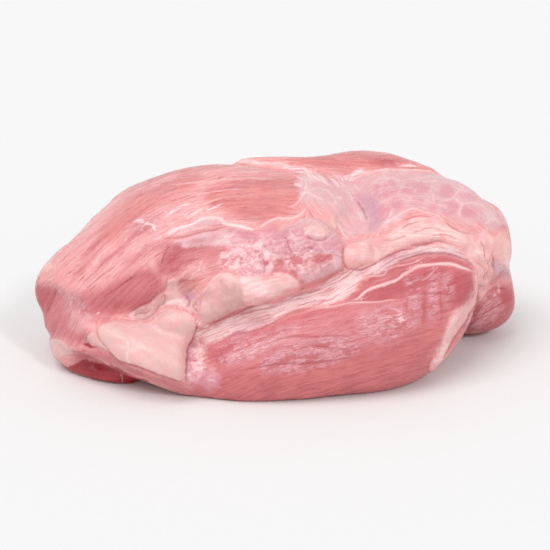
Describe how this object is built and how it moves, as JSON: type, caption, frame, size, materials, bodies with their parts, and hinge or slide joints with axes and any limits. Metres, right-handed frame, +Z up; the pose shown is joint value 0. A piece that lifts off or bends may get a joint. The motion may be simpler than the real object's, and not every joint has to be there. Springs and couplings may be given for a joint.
{
  "type": "boneless pork shoulder",
  "caption": "Raw boneless pork shoulder in one piece: pink muscles with seams, fat and thin membrane, lying on its flat underside.",
  "frame": {"origin": "on the surface it rests on, under the middle of its box", "axes": "+Z up, +X along the length towards the foreleg's thick end, -Y towards the side with the foreleg muscle"},
  "size_m": [0.2654, 0.1642, 0.0989],
  "materials": {
    "raw_pork": "moist"
  },
  "bodies": {
    "root": {"pork_shoulder": "raw_pork"}
  },
  "joints": []
}
